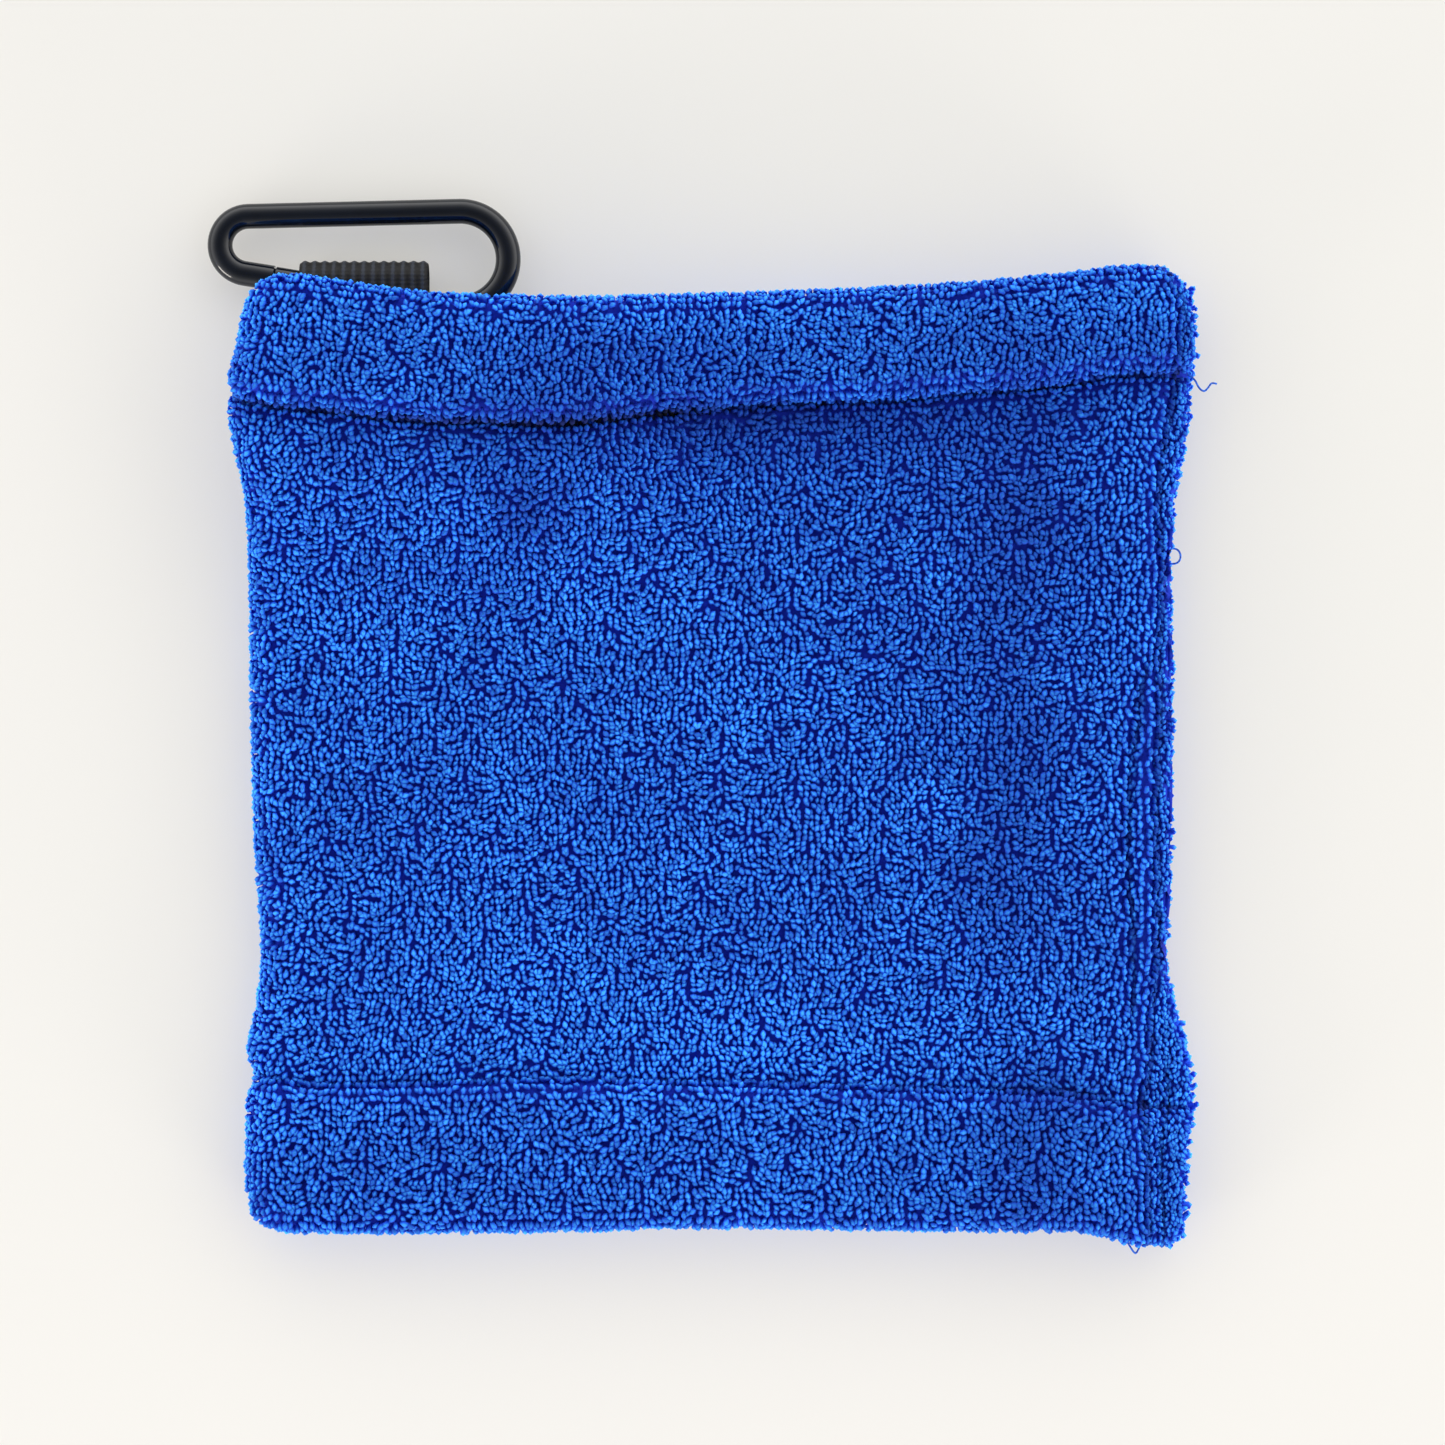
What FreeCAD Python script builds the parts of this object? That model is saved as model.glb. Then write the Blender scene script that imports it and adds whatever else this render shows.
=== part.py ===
"""Golf towel: a folded, hemmed terry cloth hung from a small carabiner by a webbing loop.

Millimetres. The towel lies flat on its back: +Z is up, +Y points at the carabiner, and the
origin is on the resting face, under the middle of the cloth.
"""
import FreeCAD, Part
import math
import os

V = FreeCAD.Vector
Z_AXIS = V(0, 0, 1)

# ---- cloth -------------------------------------------------------------------------------
PANEL_T = 3.5            # one layer of terry, between its hems
TOP_HEM_T = 4.8          # one layer where the top edge is turned in twice
BOTTOM_HEM_T = 4.3
ALLOWANCE_T = 3.1        # one layer beyond the side seam, pressed by its stitches
LAYER_GAP = 0.2          # between the front and the back layer
EDGE_ROUND = 2.0         # how far in from an edge the cloth is at full thickness
GROOVE = 0.6             # half the width of a stitched groove
HEM_THREAD_Z = 0.9       # from the cloth's full face down to a hem's row of stitches
SEAM_THREAD_Z = 1.0
THREAD_T = 1.2           # height of a row of stitches
HEM_EDGE = 0.7           # a hem's thickness at its folded edge, as a share of the full one
FOLD_INSETS = (0.3, 0.08, 0.0)  # how far the folded edge tapers at each of its columns
FOLD_W = 5.0             # width of the folded edge on the left
OVERLOCK_W = 0.9         # how far the overlock thread stands out past the raw edge
OVERLOCK_INSETS = (0.6, 1.8)    # how far in from both faces it is, at the edge and outside it
LOOSE_THREAD_R = 0.2
LIFT = 6.8               # how far the corner lies over the webbing loop and the carabiner
LIFT_X = (-28.0, 8.0)    # the corner comes down to the surface between these, going right,
LIFT_Y = (52.0, 18.0)    # and between these, going down

# ---- webbing -----------------------------------------------------------------------------
WEB_X = (-66.4, -45.9)   # left and right edges of the 20 mm webbing
WEB_T = 1.0
LOOP_TOP = 79.2
TAIL_Y = (52.5, 59.5)    # the stitched end
TAIL_TOP = 6.6
STRAIGHT_Y = 66.0        # the two plies are parallel above this
CAVITY = 4.4             # height of the space between the two plies
STITCH_W = 0.5
STITCH_T = 0.35
STITCH_INSET = 1.5

# ---- carabiner, drawn with the pivot pin at the origin and the gate along x, then mirrored --
ROD_R = 2.0
NARROW_R = 4.6           # centre line of the narrow end
WIDE_R = 7.7             # centre line of the wide end
BEND_GAP = 33.8          # between the two ends, along the gate
STUB = 2.6               # from the wide end to the pivot pin
PIVOT = V(-44.6, 72.2, 3.2)
GATE_ANGLE = -9.1
GATE_LEN = 26.1          # pivot to the gate's nose
KNUCKLE = 1.6            # pivot to the gate's hinged end
SHOULDER_GAP = 0.35
TONGUE_T = 1.4
TONGUE_HALF = 1.6
TONGUE_FLAT = 1.25       # pivot to the flat that the plunger pushes
SLOT_T = 1.8
PIVOT_SLOT = 2.3         # pivot to the bottom of the hinge slot
PIVOT_PIN_R = 0.8
PIN_PLAY = 0.05
BORE_R = 1.1
BORE_START = 1.1
BORE_END = 13.5
PLUNGER_R = 1.0
PLUNGER_LEN = 3.0
PLUNGER_GAP = 0.02
SPRING_R = 0.8
SPRING_WIRE_R = 0.15
SPRING_TURNS = 7
LATCH_X = 24.4           # pivot to the latch pin
LATCH_PIN_R = 0.5
NOTCH_R = 0.7
NOSE_TIP = 23.0          # pivot to the end of the nose's hook
NOSE_HALF = 1.5
NOSE_SLOT = 22.5         # pivot to the bottom of the nose slot
ROOT = 0.5               # how far the tongue and the nose reach into the rod

# ---- outline of the cloth ----------------------------------------------------------------


def line(points):
    """A function through points, straight between them and level beyond them."""
    def at(s):
        if s <= points[0][0]:
            return points[0][1]
        for (s0, t0), (s1, t1) in zip(points, points[1:]):
            if s <= s1:
                return t0 + (t1 - t0) * (s - s0) / (s1 - s0)
        return points[-1][1]
    return at


def shifted(curve, by):
    return lambda s: curve(s) + by


def level(value):
    return lambda s: value


LEFT = line([(-76, -72.5), (-70, -75.4), (-61, -75.4), (-50, -74.4), (-36, -73.2), (-14, -74.3),
             (20, -74.8), (43, -76.0), (55, -78.4), (66, -77.2), (74, -74.6), (77, -71.5)])
RIGHT = line([(-78.5, 70.8), (-75, 74.9), (-62, 75.8), (-51, 76.1), (-46, 75.3), (-38, 72.6),
              (32, 72.8), (40, 73.5), (49, 75.2), (68, 76.8), (75, 76.2), (78, 71.5)])
SEAM = line([(-78, 69.0), (-68, 69.0), (-56, 68.0), (-44, 69.1), (-26, 70.5), (-7, 70.1),
             (18, 70.9), (39, 70.7), (49, 71.2), (58, 73.2), (73, 74.0)])
TOP = line([(-75, 75.0), (-71, 77.0), (-62, 76.3), (-47, 74.0), (-31, 73.4), (-2, 73.8),
            (25, 74.9), (46, 76.0), (69, 78.7), (72, 77.9), (76, 75.0)])
BOTTOM = line([(-75, -74.4), (-68, -75.8), (-49, -76.2), (-2, -75.2), (36, -75.9), (58, -75.8),
               (66, -77.8), (71, -78.5), (75, -75.6)])
TOP_HEM = line([(-78, 57.1), (-61, 55.3), (-55, 54.4), (-36, 53.4), (-25, 53.2), (-11, 54.5),
                (14, 56.7), (38, 58.1), (51, 59.1), (64, 61.1), (76, 61.1)])
BOTTOM_HEM = line([(-75, -51.2), (-64, -52.3), (-36, -51.7), (18, -52.5), (45, -53.3),
                   (57, -53.8), (66, -55.7), (76, -55.9)])


def ramp(s, full, none):
    """1 at full, 0 at none and beyond, easing at both."""
    t = min(1.0, max(0.0, (s - none) / (full - none)))
    return t * t * (3 - 2 * t)


def lift(x, y):
    return LIFT * ramp(x, *LIFT_X) * ramp(y, *LIFT_Y)


def meet(column, row):
    """Where a column, x from y, crosses a row, y from x."""
    x = 0.0
    for _ in range(6):
        y = row(x)
        x = column(y)
    return x, y


LEFT_COLUMNS = [LEFT, shifted(LEFT, EDGE_ROUND), shifted(LEFT, FOLD_W)]
BODY_COLUMNS = ([shifted(LEFT, FOLD_W)] + [level(x) for x in (-58, -43, -28, -16, -4, 8, 40)]
                + [shifted(SEAM, -GROOVE)])
SEAM_COLUMNS = [shifted(SEAM, -GROOVE), shifted(SEAM, GROOVE)]
ALLOWANCE_COLUMNS = [shifted(SEAM, GROOVE), RIGHT]
OVERLOCK_COLUMNS = [RIGHT, shifted(RIGHT, OVERLOCK_W)]

TOP_HEM_ROWS = [shifted(TOP_HEM, GROOVE), shifted(TOP_HEM, GROOVE + EDGE_ROUND),
                shifted(TOP, -EDGE_ROUND), TOP]
PANEL_ROWS = ([shifted(BOTTOM_HEM, GROOVE)] + [level(y) for y in (-20, 20, 32, 43)]
              + [shifted(TOP_HEM, -GROOVE)])
BOTTOM_HEM_ROWS = [BOTTOM, shifted(BOTTOM, EDGE_ROUND),
                   shifted(BOTTOM_HEM, -GROOVE - EDGE_ROUND), shifted(BOTTOM_HEM, -GROOVE)]
ALL_ROWS = BOTTOM_HEM_ROWS + PANEL_ROWS + TOP_HEM_ROWS


def slab(columns, rows, span):
    """A sheet over a grid of columns and rows; span(i, j) gives its bottom and top height."""
    low, high = [], []
    for i, column in enumerate(columns):
        low.append([])
        high.append([])
        for j, row in enumerate(rows):
            x, y = meet(column, row)
            z0, z1 = span(i, j)
            low[i].append(V(x, y, lift(x, y) + z0))
            high[i].append(V(x, y, lift(x, y) + z1))
    faces = []

    def quad(a, b, c, d):
        faces.append(Part.Face(Part.makePolygon([a, b, c, a])))
        faces.append(Part.Face(Part.makePolygon([a, c, d, a])))

    for i in range(len(columns) - 1):
        for j in range(len(rows) - 1):
            quad(low[i][j], low[i][j + 1], low[i + 1][j + 1], low[i + 1][j])
            quad(high[i][j], high[i + 1][j], high[i + 1][j + 1], high[i][j + 1])
    for i in range(len(columns) - 1):
        quad(low[i][0], low[i + 1][0], high[i + 1][0], high[i][0])
        quad(low[i + 1][-1], low[i][-1], high[i][-1], high[i + 1][-1])
    for j in range(len(rows) - 1):
        quad(low[0][j + 1], low[0][j], high[0][j], high[0][j + 1])
        quad(low[-1][j], low[-1][j + 1], high[-1][j + 1], high[-1][j])
    solid = Part.makeSolid(Part.makeShell(faces))
    if solid.Volume < 0:
        solid.reverse()
    return solid.removeSplitter()


def both_layers(columns, rows, thickness):
    """The same sheet twice: the back layer, and the front layer on top of it."""
    deepest = max(thickness)
    back = slab(columns, rows, lambda i, j: (deepest - thickness[j], deepest))
    front = slab(columns, rows, lambda i, j: (deepest + LAYER_GAP,
                                              deepest + LAYER_GAP + thickness[j]))
    return back, front


def hem(rows, full, edge_row):
    """A turned-in band of both layers, thinner at its stitches and at its folded edge."""
    thickness = [full] * len(rows)
    thickness[edge_row] = HEM_EDGE * full
    thickness[len(rows) - 1 - edge_row] = PANEL_T
    return both_layers(BODY_COLUMNS, rows, thickness)


def row_thickness(j):
    """One layer's thickness at a row of ALL_ROWS."""
    if j < len(BOTTOM_HEM_ROWS):
        return BOTTOM_HEM_T
    if j < len(BOTTOM_HEM_ROWS) + len(PANEL_ROWS):
        return PANEL_T
    return TOP_HEM_T


def left_fold():
    """The folded edge, where the front layer turns into the back one."""
    def span(i, j):
        whole = 2 * row_thickness(j) + LAYER_GAP
        inset = FOLD_INSETS[i] * whole
        return inset, whole - inset
    return slab(LEFT_COLUMNS, ALL_ROWS, span)


def allowances():
    return both_layers(ALLOWANCE_COLUMNS, ALL_ROWS, [ALLOWANCE_T] * len(ALL_ROWS))


def hem_stitching(hem_line, thickness):
    """Rows of stitches in the grooves of the back and of the front."""
    rows = [shifted(hem_line, -GROOVE), shifted(hem_line, GROOVE)]
    top = 2 * thickness + LAYER_GAP
    low, high = HEM_THREAD_Z, top - HEM_THREAD_Z
    back = slab(BODY_COLUMNS, rows, lambda i, j: (low, low + THREAD_T))
    front = slab(BODY_COLUMNS, rows, lambda i, j: (high - THREAD_T, high))
    return Part.makeCompound([back, front])


def side_seam_stitching():
    whole = 2 * ALLOWANCE_T + LAYER_GAP
    return slab(SEAM_COLUMNS, ALL_ROWS, lambda i, j: (SEAM_THREAD_Z, whole - SEAM_THREAD_Z))


def overlock_edge():
    whole = 2 * ALLOWANCE_T + LAYER_GAP
    return slab(OVERLOCK_COLUMNS, ALL_ROWS,
                lambda i, j: (OVERLOCK_INSETS[i], whole - OVERLOCK_INSETS[i]))


def tube(points, radius):
    """A round thread through points, two to an arc."""
    edges = []
    for a, b, c in zip(points[::2], points[1::2], points[2::2]):
        edges.append(Part.Arc(V(*a), V(*b), V(*c)).toShape())
    path = Part.Wire(edges)
    start = edges[0].tangentAt(edges[0].FirstParameter)
    ring = Part.Wire([Part.Circle(V(*points[0]), start, radius).toShape()])
    return path.makePipeShell([ring], True, True)


def loose_thread_ends():
    """Three short ends of the overlock thread: a curl, a small loop and a V."""
    curl = [(77.4, 59.4, 3.2), (78.4, 58.5, 3.9), (79.6, 59.6, 4.2)]
    small_loop = [(74.1, 32.4, 3.2), (75.0, 31.3, 4.0), (74.1, 30.2, 3.4)]
    v_loop = [(66.2, -78.4, 3.0), (67.4, -79.8, 3.4), (68.6, -79.2, 3.2)]
    return Part.makeCompound([tube(points, LOOSE_THREAD_R)
                              for points in (curl, small_loop, v_loop)])


# ---- webbing -----------------------------------------------------------------------------


def webbing_loop():
    """Both plies from the stitched end round the gate, as one band with a space inside."""
    outer_r = CAVITY / 2 + WEB_T
    middle = outer_r
    bend_y = LOOP_TOP - outer_r
    x0 = WEB_X[0]
    tail_low = TAIL_TOP - 2 * WEB_T

    def outline(r, low_end, high_end, start_y):
        low, high = middle - r, middle + r
        p = [V(x0, start_y, low_end), V(x0, STRAIGHT_Y, low), V(x0, bend_y, low),
             V(x0, bend_y + r, middle), V(x0, bend_y, high), V(x0, STRAIGHT_Y, high),
             V(x0, start_y, high_end)]
        edges = [Part.makeLine(p[0], p[1]), Part.makeLine(p[1], p[2]),
                 Part.Arc(p[2], p[3], p[4]).toShape(), Part.makeLine(p[4], p[5]),
                 Part.makeLine(p[5], p[6])]
        if (p[6] - p[0]).Length > 1e-6:
            edges.append(Part.makeLine(p[6], p[0]))
        return Part.Face(Part.Wire(edges))

    width = V(WEB_X[1] - WEB_X[0], 0, 0)
    band = outline(outer_r, tail_low, TAIL_TOP, TAIL_Y[1]).extrude(width)
    meeting = TAIL_TOP - WEB_T
    space = outline(CAVITY / 2, meeting, meeting, TAIL_Y[1] + 1.0).extrude(width)
    return band.cut(space)


def webbing_tail():
    """The two plies, stitched flat to the back of the towel."""
    size = (WEB_X[1] - WEB_X[0], TAIL_Y[1] - TAIL_Y[0], 2 * WEB_T)
    return Part.makeBox(*size, V(WEB_X[0], TAIL_Y[0], TAIL_TOP - 2 * WEB_T))


def loop_stitching():
    """A stitched box with a cross in it, on the webbing's outer face."""
    x0, x1 = WEB_X[0] + STITCH_INSET, WEB_X[1] - STITCH_INSET
    y0, y1 = TAIL_Y[0] + STITCH_INSET, TAIL_Y[1] - STITCH_INSET
    z = TAIL_TOP - 2 * WEB_T - STITCH_T
    corners = [V(x0, y0, z), V(x1, y0, z), V(x1, y1, z), V(x0, y1, z)]
    runs = list(zip(corners, corners[1:] + corners[:1])) + [(corners[0], corners[2]),
                                                            (corners[1], corners[3])]
    rows = []
    for a, b in runs:
        along = (b - a).normalize()
        side = along.cross(Z_AXIS) * (STITCH_W / 2)
        a, b = a - along * (STITCH_W / 2), b + along * (STITCH_W / 2)
        base = Part.Face(Part.makePolygon([a - side, a + side, b + side, b - side, a - side]))
        rows.append(base.extrude(Z_AXIS * STITCH_T))
    return rows[0].multiFuse(rows[1:]).removeSplitter()

# ---- carabiner ---------------------------------------------------------------------------


def placed(shape):
    """Mirrored, so that the gate runs to the left, then turned and moved to its place."""
    shape = shape.mirror(V(0, 0, 0), V(1, 0, 0))
    in_row = FreeCAD.Placement(PIVOT, FreeCAD.Rotation(Z_AXIS, GATE_ANGLE))
    shape.Placement = in_row * shape.Placement
    return shape


def plate(x0, x1, half, thickness):
    return Part.makeBox(x1 - x0, 2 * half, thickness, V(x0, -half, -thickness / 2))


def upright(x, radius, height):
    return Part.makeCylinder(radius, height, V(x, 0, -height / 2))


def ring_path():
    """Centre line from the hinge shoulder round both ends to the nose shoulder."""
    turn = -2 * math.atan((WIDE_R - NARROW_R) / BEND_GAP)
    up = V(-math.sin(turn), math.cos(turn), 0)
    out = V(math.cos(turn / 2), math.sin(turn / 2), 0)
    wide, narrow = V(-STUB, WIDE_R, 0), V(BEND_GAP - STUB, NARROW_R, 0)
    hinge_end, nose_end = V(-ROD_R - SHOULDER_GAP, 0, 0), V(GATE_LEN + SHOULDER_GAP, 0, 0)
    low_wide, low_narrow = V(-STUB, 0, 0), V(BEND_GAP - STUB, 0, 0)
    top_wide, top_narrow = wide + up * WIDE_R, narrow + up * NARROW_R
    return Part.Wire([Part.makeLine(hinge_end, low_wide),
                      Part.Arc(low_wide, wide - out * WIDE_R, top_wide).toShape(),
                      Part.makeLine(top_wide, top_narrow),
                      Part.Arc(top_narrow, narrow + out * NARROW_R, low_narrow).toShape(),
                      Part.makeLine(low_narrow, nose_end)])


def carabiner_ring():
    """The bent rod, with a tongue for the hinge at one end and a hooked nose at the other."""
    start = V(-ROD_R - SHOULDER_GAP, 0, 0)
    section = Part.Wire([Part.Circle(start, V(-1, 0, 0), ROD_R).toShape()])
    rod = ring_path().makePipeShell([section], True, True)
    tongue = plate(start.x - ROOT, TONGUE_FLAT, TONGUE_HALF, TONGUE_T)
    tongue = tongue.cut(upright(0, PIVOT_PIN_R + PIN_PLAY, 2 * ROD_R))
    nose = plate(NOSE_TIP, GATE_LEN + SHOULDER_GAP + ROOT, NOSE_HALF, TONGUE_T)
    notch = upright(LATCH_X, NOTCH_R, 2 * ROD_R)
    notch_mouth = Part.makeBox(2 * NOTCH_R, 2 * ROD_R, 2 * ROD_R, V(LATCH_X - NOTCH_R, 0, -ROD_R))
    nose = nose.cut(notch.fuse(notch_mouth))
    return placed(rod.fuse([tongue, nose]))


def gate():
    """The sprung rod between hinge and nose, slotted at both ends and bored for its spring."""
    rod = Part.makeCylinder(ROD_R, KNUCKLE + GATE_LEN, V(-KNUCKLE, 0, 0), V(1, 0, 0))
    rod = rod.cut([plate(-2 * ROD_R, PIVOT_SLOT, 2 * ROD_R, SLOT_T),
                   plate(NOSE_SLOT, GATE_LEN + ROD_R, 2 * ROD_R, SLOT_T),
                   Part.makeCylinder(BORE_R, BORE_END - BORE_START, V(BORE_START, 0, 0), V(1, 0, 0)),
                   upright(0, PIVOT_PIN_R, 3 * ROD_R),
                   upright(LATCH_X, LATCH_PIN_R, 3 * ROD_R)])
    return placed(rod)


def gate_pivot_pin():
    return placed(upright(0, PIVOT_PIN_R, 2 * ROD_R - 0.3))


def latch_pin():
    return placed(upright(LATCH_X, LATCH_PIN_R, 2 * ROD_R - 0.3))


def gate_plunger():
    start = TONGUE_FLAT + PLUNGER_GAP
    return placed(Part.makeCylinder(PLUNGER_R, PLUNGER_LEN, V(start, 0, 0), V(1, 0, 0)))


def gate_spring():
    """A compression spring in the bore, behind the plunger."""
    first = TONGUE_FLAT + PLUNGER_GAP + PLUNGER_LEN + SPRING_WIRE_R + 0.05
    length = BORE_END - first - SPRING_WIRE_R - 0.05
    helix = Part.makeHelix(length / SPRING_TURNS, length, SPRING_R)
    section = Part.Wire([Part.Circle(V(SPRING_R, 0, 0), V(0, 1, 0), SPRING_WIRE_R).toShape()])
    coil = Part.Wire(helix.Edges).makePipeShell([section], True, True)
    coil.rotate(V(0, 0, 0), V(0, 1, 0), 90)
    coil.translate(V(first, 0, 0))
    return placed(coil)


def export(name, shape):
    shape.exportStep(f"parts/{name}.step")
    box = shape.BoundBox
    print(f"{name}: {len(shape.Solids)} solid, {shape.Volume:.1f} mm3, valid {shape.isValid()},",
          f"x {box.XMin:.1f}..{box.XMax:.1f} y {box.YMin:.1f}..{box.YMax:.1f}",
          f"z {box.ZMin:.1f}..{box.ZMax:.1f}")


def build():
    os.makedirs("parts", exist_ok=True)
    panel_rows = [PANEL_T] * len(PANEL_ROWS)
    back_panel, front_panel = both_layers(BODY_COLUMNS, PANEL_ROWS, panel_rows)
    top_hem_back, top_hem_front = hem(TOP_HEM_ROWS, TOP_HEM_T, len(TOP_HEM_ROWS) - 1)
    bottom_hem_back, bottom_hem_front = hem(BOTTOM_HEM_ROWS, BOTTOM_HEM_T, 0)
    allowance_back, allowance_front = allowances()
    export("back_panel", back_panel)
    export("front_panel", front_panel)
    export("left_fold", left_fold())
    export("top_hem_back", top_hem_back)
    export("top_hem_front", top_hem_front)
    export("bottom_hem_back", bottom_hem_back)
    export("bottom_hem_front", bottom_hem_front)
    export("seam_allowance_back", allowance_back)
    export("seam_allowance_front", allowance_front)
    export("top_hem_stitching", hem_stitching(TOP_HEM, PANEL_T))
    export("bottom_hem_stitching", hem_stitching(BOTTOM_HEM, PANEL_T))
    export("side_seam_stitching", side_seam_stitching())
    export("overlock_edge", overlock_edge())
    export("loose_thread_ends", loose_thread_ends())
    export("webbing_tail", webbing_tail())
    export("loop_stitching", loop_stitching())
    export("webbing_loop", webbing_loop())
    export("carabiner_ring", carabiner_ring())
    export("gate", gate())
    export("gate_pivot_pin", gate_pivot_pin())
    export("latch_pin", latch_pin())
    export("gate_plunger", gate_plunger())
    export("gate_spring", gate_spring())


build()
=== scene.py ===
import math

import bpy
import numpy as np
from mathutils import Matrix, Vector


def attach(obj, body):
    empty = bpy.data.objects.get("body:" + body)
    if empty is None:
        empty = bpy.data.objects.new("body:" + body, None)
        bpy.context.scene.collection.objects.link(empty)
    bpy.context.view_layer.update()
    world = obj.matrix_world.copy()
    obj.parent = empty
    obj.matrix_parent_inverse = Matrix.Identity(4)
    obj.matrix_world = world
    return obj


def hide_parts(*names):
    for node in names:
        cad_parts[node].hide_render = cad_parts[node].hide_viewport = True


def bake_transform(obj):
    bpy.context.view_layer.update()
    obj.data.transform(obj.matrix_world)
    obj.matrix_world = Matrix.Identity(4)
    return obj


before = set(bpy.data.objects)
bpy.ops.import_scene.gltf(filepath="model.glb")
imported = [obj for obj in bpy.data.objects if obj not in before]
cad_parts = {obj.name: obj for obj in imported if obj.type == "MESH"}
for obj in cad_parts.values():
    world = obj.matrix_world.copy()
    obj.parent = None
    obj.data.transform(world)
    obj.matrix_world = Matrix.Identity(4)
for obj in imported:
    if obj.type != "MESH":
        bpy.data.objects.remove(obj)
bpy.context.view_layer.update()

MM = 0.001

# ---- outline of the cloth, in millimetres, seen from the front ----------------------------


def smooth_line(points):
    """A smooth function through points, level beyond both ends."""
    s = np.array([p[0] for p in points], float)
    t = np.array([p[1] for p in points], float)
    slope = np.gradient(t, s)

    def at(q):
        q = np.clip(q, s[0], s[-1])
        k = np.clip(np.searchsorted(s, q) - 1, 0, len(s) - 2)
        w = s[k + 1] - s[k]
        f = (q - s[k]) / w
        bend = (2 * f**3 - 3 * f**2 + 1) * t[k] + (3 * f**2 - 2 * f**3) * t[k + 1]
        return bend + ((f**3 - 2 * f**2 + f) * slope[k] + (f**3 - f**2) * slope[k + 1]) * w
    return at


LEFT = smooth_line([(-76.2, -68.0), (-75.6, -70.6), (-74.0, -73.6), (-70.0, -75.3), (-61, -75.6),
                    (-54, -75.2), (-51.0, -74.2), (-48, -75.2), (-40, -74.0), (-34, -73.3),
                    (-14, -74.2), (6, -74.8), (20, -75.0), (31, -75.2), (38, -75.4), (45, -76.5),
                    (52, -78.0), (56.0, -78.5), (57.8, -77.6), (60, -78.2), (66, -76.9),
                    (71.5, -75.9), (74.3, -74.6), (76.2, -72.4), (77.0, -70.4)])
RIGHT = smooth_line([(-78.7, 71.0), (-77.6, 73.4), (-75, 75.0), (-70, 75.2), (-62, 75.9),
                     (-55.7, 76.4), (-51.8, 76.3), (-47, 75.4), (-44, 74.8), (-40, 73.6),
                     (-37, 72.8), (-20, 73.0), (18, 73.2), (32, 73.0), (40, 73.6), (45, 74.3),
                     (49, 75.2), (56, 76.0), (64, 76.6), (68, 76.9), (72.8, 76.4), (74.6, 75.9),
                     (75.6, 74.3), (77.0, 72.8), (78.2, 71.0)])
SEAM = smooth_line([(-78.7, 69.2), (-72, 69.0), (-62, 68.7), (-55, 68.2), (-49, 69.3), (-43, 69.4),
                    (-37, 70.1), (-26, 70.6), (-18, 70.4), (-7, 70.3), (5, 70.8), (18, 70.9),
                    (28, 71.4), (39, 70.8), (48, 71.3), (58, 73.2), (66, 74.2), (73, 73.9),
                    (78.2, 70.4)])
TOP = smooth_line([(-70.4, 77.0), (-66, 76.9), (-61.9, 76.3), (-54, 75.2), (-46.7, 74.2),
                   (-31.4, 73.6), (-2.4, 73.8), (20, 74.6), (45.6, 76.1), (58, 77.4),
                   (67, 78.5), (71.0, 78.2)])
BOTTOM = smooth_line([(-68.0, -76.2), (-48.8, -76.3), (-20, -75.8), (-2.4, -75.4), (20, -75.7),
                      (36, -76.0), (52, -75.9), (58.2, -76.1), (62, -76.7), (66.4, -78.0),
                      (71.0, -78.7)])
TOP_HEM = smooth_line([(-78, 57.4), (-70, 56.1), (-60.6, 55.2), (-54.6, 54.4), (-45.4, 53.6),
                       (-36.3, 53.4), (-28, 53.2), (-24.8, 53.3), (-11, 54.6), (-2.4, 55.6),
                       (14, 56.6), (30.2, 57.3), (38.4, 58.1), (50.7, 59.0), (58.1, 60.0),
                       (64.2, 61.1), (73.4, 61.2)])
BOTTOM_HEM = smooth_line([(-74, -51.2), (-64, -52.3), (-54.9, -52.3), (-36.5, -51.7),
                          (17.9, -52.5), (32.8, -53.0), (45, -53.3), (57.1, -53.8),
                          (66.4, -55.7), (73, -56.2)])
INNER_GROOVE = smooth_line([(-43, 66.7), (-36, 66.6), (-29, 66.7), (-16, 65.9), (-8, 66.1),
                            (2, 67.0), (10, 68.0), (18, 69.6)])
OUTER_GROOVE = smooth_line([(-74, 71.5), (-62, 71.2), (-55, 72.5), (-50, 72.0)])

# heights of the base cloth, under its pile
REST = 1.1              # back of the base cloth over the surface it lies on
BODY_HALF = 2.5         # half the thickness of both layers
TOP_HEM_HALF = 3.8
BOTTOM_HEM_HALF = 3.2
SINKS = (1.5, 0.6, 1.0, 0.9, 0.9)   # how far each line of lines() pulls in one face
RAW_SINK = 0.9          # how much thinner the cloth is past the side seam
UNDER_HEM_SINK = 0.7    # and just under the top hem, easing away over the next
UNDER_HEM = 13
THINNEST = 0.7
CLOTH_T = 0.8
LAYER_GAP = 0.15        # between a hem's two layers, where they turn
FOLD_R = 3.2            # how far in from the left edge the fold starts to turn
LIFT = 6.8              # the corner lies over the webbing loop
LIFT_X = (-28.0, 8.0)
LIFT_Y = (52.0, 18.0)
PILE_OUT = 1.0          # how far the pile stands out past the base cloth's edge
FRINGE_OUT = 0.9
EYE = 700.0             # the outline was taken from this high up, so what is raised is drawn in


def ease(f):
    """From 0 to 1, level at both ends."""
    f = np.clip(f, 0.0, 1.0)
    return f * f * (3 - 2 * f)


def ridge(distance, width):
    """1 on a line, falling away to both sides of it."""
    return np.exp(-(distance / width) ** 2)


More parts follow.
